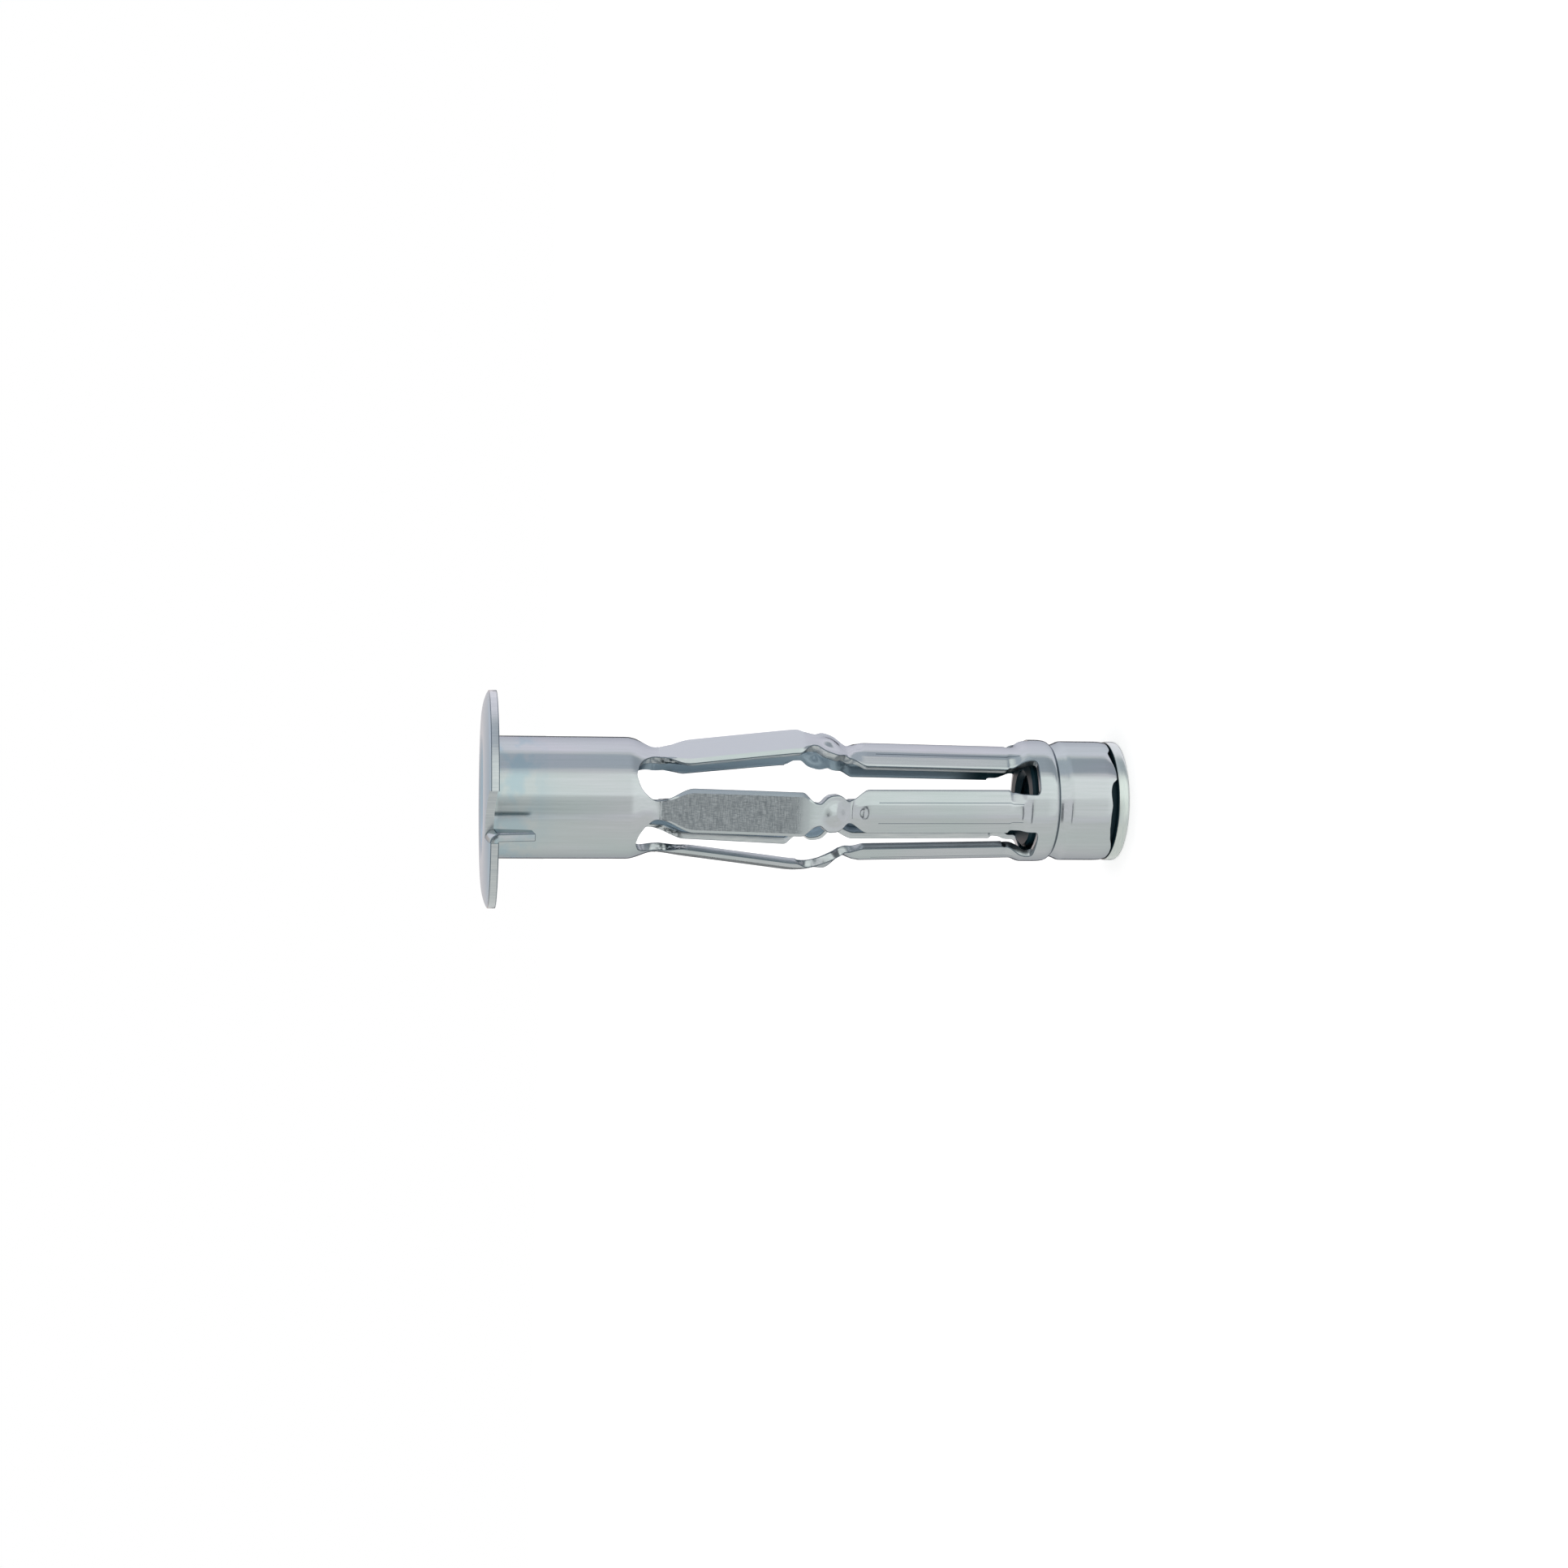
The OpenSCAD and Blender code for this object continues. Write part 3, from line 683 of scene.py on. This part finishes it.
# The strip starts within the flange, a hair under its faces, so that the join has no faces in common
START, HAIR = 0.3, 0.012
TAPER_FROM, RIM_CLEAR = 0.7, 0.02
PRONG_ROWS = (1.5, 2.2, TIP - 0.3, TIP - 0.12, TIP)


def prong_path():
    """Outer and inner skin of the strip as (across, down), from inside the flange round the fold to the tip."""
    arc = [math.radians(a) for a in np.linspace(0, 90, 9)]
    outer_skin = [(FOLD_AT - START, HAIR)]
    outer_skin += [(FOLD_AT + BEND_OUT * math.sin(a), BEND_OUT * (1 - math.cos(a))) for a in arc]
    inner_skin = [(FOLD_AT - START, SHEET - HAIR)]
    inner_skin += [(FOLD_AT + BEND_IN * math.sin(a), BEND_OUT - BEND_IN * math.cos(a)) for a in arc]
    return (
        outer_skin + [(SHEET / 2, d) for d in PRONG_ROWS],
        inner_skin + [(-SHEET / 2, d) for d in PRONG_ROWS])


def prong(side):
    """A strip folded down from the flange, narrower towards its tip."""
    middle = flange_r - PRONG_W / 2
    root = (flange_r - PRONG_W, flange_r - RIM_CLEAR)
    tip = (middle - PRONG_TIP_W / 2, middle + PRONG_TIP_W / 2)
    bm = bmesh.new()
    loops = []
    for (y0, d0), (y1, d1) in zip(*prong_path()):
        taper = min(1.0, max(0.0, (d0 - TAPER_FROM) / (TIP - TAPER_FROM)))
        near, far = (r0 + (r1 - r0) * taper for r0, r1 in zip(root, tip))
        radii = [near + (far - near) * f for f in np.linspace(0, 1, 5)]
        row = [(r, y0, length - d0 - flange_fall(r)) for r in radii]
        row += [(r, y1, length - d1 - flange_fall(r)) for r in reversed(radii)]
        loops.append([bm.verts.new(Vector(p) * MM) for p in row])
    for upper, lower in zip(loops, loops[1:]):
        for i in range(len(upper)):
            bm.faces.new((upper[i - 1], upper[i], lower[i], lower[i - 1]))
    bm.faces.new(loops[0])
    bm.faces.new(loops[-1])
    return on_prong_side("prong", bm, side)


prongs = [prong(side) for side in SIDES]
print(f"{len(prongs)} prongs, {PRONG_LEN} mm long below the flange")

# %% Cut the notches and join the prongs
SHARP_ABOVE = math.radians(38)
for cutter in cutters:
    add_finishes(cutter.data)
    cutter.data.polygons.foreach_set("material_index", [SHEARED_FACES] * len(cutter.data.polygons))
    cut = sector.modifiers.new("notch", "BOOLEAN")
    cut.operation, cut.solver, cut.object = "DIFFERENCE", "EXACT", cutter
for strip in prongs:
    add_finishes(strip.data)
    bevel = strip.modifiers.new("broken edge", "BEVEL")
    bevel.limit_method, bevel.angle_limit, bevel.width = "ANGLE", math.radians(50), BROKEN * MM
    bevel.segments, bevel.material = len(ROLL_ANGLES) - 1, DARK_LINE_SHADE_FACES
    settle(strip)
    weld = sector.modifiers.new("prong", "BOOLEAN")
    weld.operation, weld.solver, weld.object = "UNION", "EXACT", strip
settle(sector)
for helper in cutters + prongs:
    bpy.data.objects.remove(helper)
sector.data.shade_smooth()
sector.data.set_sharp_from_angle(angle=SHARP_ABOVE)
print(f"sleeve: {len(sector.data.polygons)} faces, materials {[m.name for m in sector.data.materials]}")
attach(sector, "root")
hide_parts("sleeve")

# %% [markdown]
# ## The nut
# The nut is turned and then tapped. Its thread is a groove that climbs by one pitch in each turn, so the bore is a
# grid whose radius depends only on where the point lies within its pitch.

# %% Section and thread of the nut
PITCH, CREST_R, ROOT_R = 0.8, 2.067, 2.5
NUT_LEN, NUT_R, LEAD_R, LEAD_IN = 7.75, 4.9, 3.8, 0.45
AROUND, THREAD_ROWS = 96, 156
CREST_FLAT, FLANK = 0.12, 0.75


def thread_radius(turn, z):
    """Radius of the bore: a groove with flat crests and roots, widened to a cone at both mouths."""
    phase = (z / PITCH - turn / math.tau) % 1
    climb = np.clip((0.5 - abs(phase - 0.5)) / 0.5, 0, 1)
    groove = CREST_R + (ROOT_R - CREST_R) * np.clip((climb - CREST_FLAT) / FLANK, 0, 1)
    mouth = CREST_R + LEAD_IN - min(z, NUT_LEN - z)
    return max(groove, mouth)


# Outer section of the nut, from the end face up: its flange, its body in the crimp and its lead
outline = [
    (4.66, 0.0), (4.8, 0.05), (4.88, 0.15), (NUT_R, 0.28), (NUT_R, 0.76), (4.88, 0.86), (4.8, NUT_FLANGE),
    (4.23, NUT_FLANGE), (4.23, 4.75), (4.15, 5.05), (3.94, 5.55), (3.89, 5.7), (3.89, 5.85), (LEAD_R, 6.45),
    (LEAD_R, NUT_LEN - 0.2), (LEAD_R - 0.2, NUT_LEN),
]
turns = np.arange(AROUND) * math.tau / AROUND
loops = [[(r, z) for _ in turns] for r, z in outline]
loops += [[(thread_radius(t, z), z) for t in turns] for z in np.linspace(NUT_LEN, 0, THREAD_ROWS)]
nut_points = [(r * math.cos(t), r * math.sin(t), z) for loop in loops for (r, z), t in zip(loop, turns)]
nut_faces = []
for k in range(len(loops)):
    here, there = k * AROUND, (k + 1) % len(loops) * AROUND
    for i in range(AROUND):
        j = (i + 1) % AROUND
        nut_faces.append((here + i, here + j, there + j, there + i))
nut_mesh = bpy.data.meshes.new("nut")
nut_mesh.from_pydata((np.array(nut_points) * MM).tolist(), [], nut_faces)
nut_mesh.materials.append(nut_zinc)
nut_mesh.shade_smooth()
nut_mesh.set_sharp_from_angle(angle=SHARP_ABOVE)
nut = add_object("nut_skin", nut_mesh)
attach(nut, "root")
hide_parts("nut")
print(f"nut: {len(nut_faces)} faces")

# %% [markdown]
# ## Floor, light and camera
# Bright metal shows nothing but the room around it, so the room is as important as the plating. The floor and
# the sky are white and light the scene evenly. A ring of curved cards stands round the object for its reflections
# alone: bright ones make the highlights, and dark ones, which photographers call flags, draw the edges.

# %% Floor
bpy.ops.mesh.primitive_plane_add(size=1.6)
floor = bpy.context.object
floor.name = "floor"
paper, tree, shader = new_material("matt white paper")
shader.inputs["Base Color"].default_value = linear("#f2f2f2")
shader.inputs["Roughness"].default_value = 0.9
shader.inputs["Emission Color"].default_value = linear("#ffffff")
shader.inputs["Emission Strength"].default_value = 0.28
floor.data.materials.append(paper)
floor.visible_glossy = False

# %% White sky
world = bpy.data.worlds.new("studio")
world.use_nodes = True
world.node_tree.nodes["Background"].inputs["Color"].default_value = linear("#ffffff")
world.node_tree.nodes["Background"].inputs["Strength"].default_value = 1.0
bpy.context.scene.world = world
bpy.context.scene.view_settings.view_transform = "Standard"
print("white floor and white sky, no tone curve")

# %% Cards that only the metal sees
PANEL_R, PANEL_Z, PANEL_STEP = 0.6, 0.03, 0.002
# Name, first and last angle from the camera's side, lowest and highest elevation, colour, and the strength of the
# light below and above the soft edge, which is between two elevations
PANELS = [
    ("lavender_panel", 96, 158, -60, 60, "#fbf7ff", 1.26, 1.26),
    ("outline_flag", 158, 202, -60, 0, "#e8eef2", 0.14, 0.14),
    ("flange_card", 158, 202, 0, 60, "#fff1ee", 0.95, 0.95),
    ("blue_flag", 54, 91, -60, 50, "#edf5ff", 0.62, 0.8),
    ("key_panel", 3, 47, -60, 45, "#fcfffb", 1.42, 1.3),
    ("front_panel", -30, 3, -60, 0, "#fcfffb", 1.22, 0.92),
    ("fill_panel", -150, -42, -60, 50, "#fffffb", 0.95, 0.95),
    ("camera_flag", -48, -5, 1, 12, "#f0f7ff", 0.2, 0.2),
]
SOFT_EDGE = [math.radians(e) for e in (-28, -2)]


def panel(radius, name, first, last, low, high, code, below, above):
    """A curved card on a ring round the object, seen in reflections alone."""
    turns = [math.radians(CAMERA_TURN - 90 + a) for a in np.linspace(first, last, 13)]
    levels = [math.radians(e) for e in np.linspace(low, high, 7)]
    grid = [
        (radius * math.cos(t) * math.cos(e), radius * math.sin(t) * math.cos(e), PANEL_Z + radius * math.sin(e))
        for e in levels for t in turns
    ]
    wide = len(turns)
    cards = [
        (k * wide + i, k * wide + i + 1, (k + 1) * wide + i + 1, (k + 1) * wide + i)
        for k in range(len(levels) - 1) for i in range(wide - 1)
    ]
    mesh = bpy.data.meshes.new(name)
    mesh.from_pydata(grid, [], cards)
    glow, tree, shader = new_material(name.replace("_", " "))
    shader.inputs["Base Color"].default_value = (0, 0, 0, 1)
    shader.inputs["Specular IOR Level"].default_value = 0.0
    shader.inputs["Emission Color"].default_value = linear(code)
    rise = step(tree, *((PANEL_Z + radius * math.sin(e)) / MM for e in SOFT_EDGE))
    tree.links.new(between(tree, rise, 0, 1, below, above), shader.inputs["Emission Strength"])
    mesh.materials.append(glow)
    ob = add_object(name, mesh)
    ob.visible_camera = ob.visible_diffuse = ob.visible_shadow = False
    ob.visible_transmission = ob.visible_volume_scatter = False
    return ob


# Each card stands a little inside the one before it, so that no two lie in the same place
for order, row in enumerate(PANELS):
    panel(PANEL_R - PANEL_STEP * order, *row)
print(f"{len(PANELS)} cards at {PANEL_R} m")

# %% Camera
# It lies on its side, so that the standing anchor runs across the picture with its flange on the left
FOCAL_PIXELS, FRAME_PIXELS, SENSOR = 2984, 1932, 36
turn, tilt, roll = math.radians(CAMERA_TURN), math.radians(8.9), math.radians(0.42)
distance, aim, lift = 196.5 * MM, 27.6 * MM, 1.2 * MM
spin = Matrix.Rotation(turn, 3, "Z")
back = Vector((0, -math.cos(tilt), math.sin(tilt)))
right = Vector((0, -math.sin(tilt), -math.cos(tilt)))
up = Vector((1, 0, 0))
facing = Matrix((right, up, back)).transposed()
camera = bpy.data.cameras.new("camera")
camera.lens, camera.sensor_width, camera.clip_start = FOCAL_PIXELS / FRAME_PIXELS * SENSOR, SENSOR, 0.01
viewpoint = bpy.data.objects.new("camera", camera)
bpy.context.scene.collection.objects.link(viewpoint)
place = spin @ (Vector((lift, 0, aim)) + back * distance)
viewpoint.matrix_world = Matrix.Translation(place) @ (spin @ facing @ Matrix.Rotation(roll, 3, "Z")).to_4x4()
bpy.context.scene.camera = viewpoint
print(f"camera {distance:.3f} m away, lens {camera.lens:.1f} mm")
